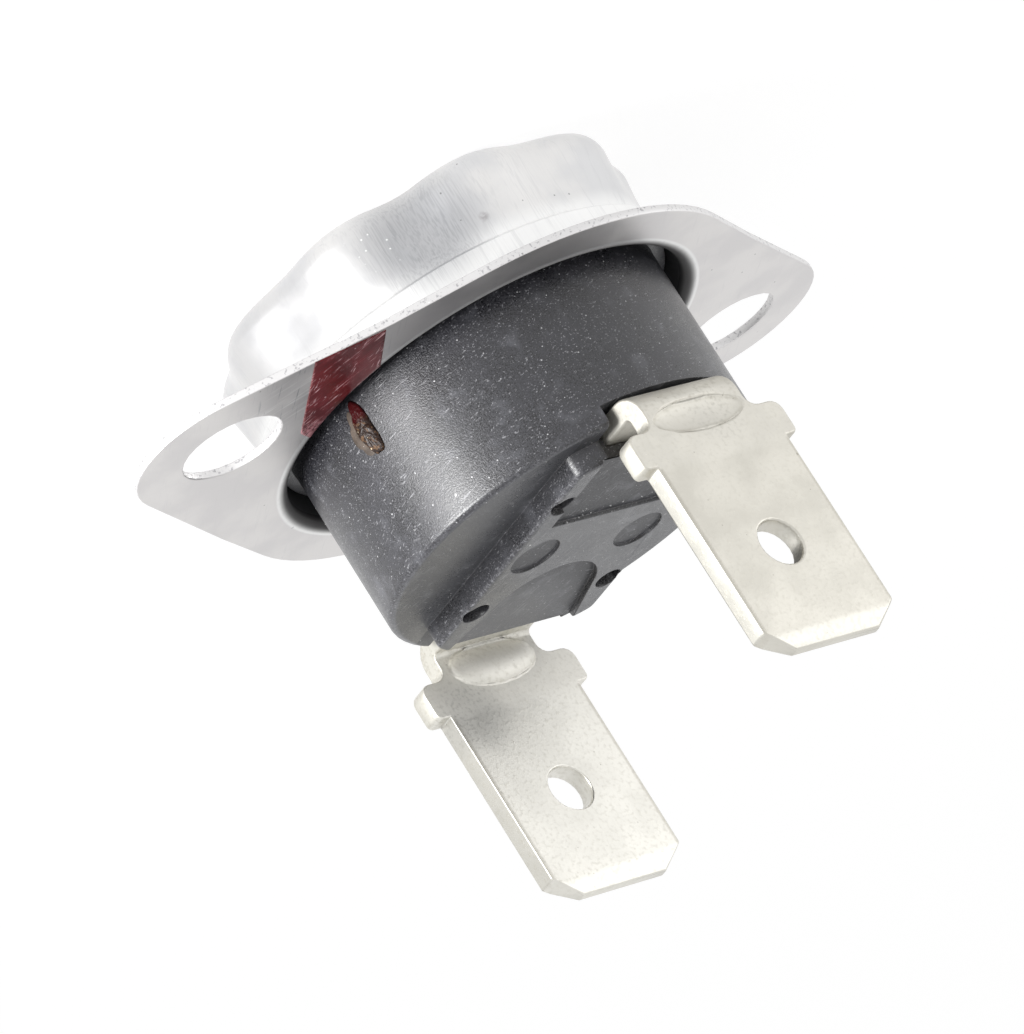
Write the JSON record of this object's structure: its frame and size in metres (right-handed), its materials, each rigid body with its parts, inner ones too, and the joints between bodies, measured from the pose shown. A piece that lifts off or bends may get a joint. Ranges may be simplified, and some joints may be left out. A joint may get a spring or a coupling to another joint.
{
  "type": "thermal fuse",
  "caption": "Flanged snap-action thermal fuse: round aluminium cap with slotted ears, moulded case and upright blade terminals.",
  "frame": {"origin": "centre of the cap's flat face, on the body's axis", "axes": "+Z along the body's axis from the cap's flat face to the terminals' tips, +X towards one mounting ear, +Y towards the terminal that carries the contact arm"},
  "size_m": [0.0312, 0.0202, 0.0216],
  "materials": {
    "cap_aluminium": "drawn, bright satin, scratched",
    "case_phenolic": "moulded phenolic, semi-matt, scuffed",
    "guide_phenolic": "moulded phenolic",
    "bimetal": "rolled strip",
    "pin_ceramic": "fired, unglazed",
    "terminal_plate": "plated brass strip, satin silver with a warm tint",
    "arm_bronze": "rolled spring bronze",
    "contact_silver": "headed silver alloy",
    "rivet_brass": "turned brass"
  },
  "bodies": {
    "housing": {"mounting_cap": "cap_aluminium", "switch_case": "case_phenolic", "guide_plate": "guide_phenolic", "bimetal_disc": "bimetal", "fixed_terminal": "terminal_plate", "arm_terminal": "terminal_plate", "fixed_contact": "contact_silver", "arm_rivet": "rivet_brass"},
    "plunger": {"transfer_pin": "pin_ceramic"},
    "arm": {"contact_arm": "arm_bronze", "moving_contact": "contact_silver"}
  },
  "joints": [
    {"name": "pin_slide", "type": "slide", "parent": "housing", "child": "plunger", "axis": [0, 0, 1], "range_m": [0, 0.00035], "deforming": ["bimetal_disc"]},
    {"name": "arm_flex", "type": "hinge", "parent": "housing", "child": "arm", "pos_m": [0, 0.004, 0.0104], "axis": [-1, 0, 0], "range_deg": [0, 5.02]}
  ],
  "couplings": [
    {"joint": "arm_flex", "follows": "pin_slide", "rad_per_m": 250}
  ]
}
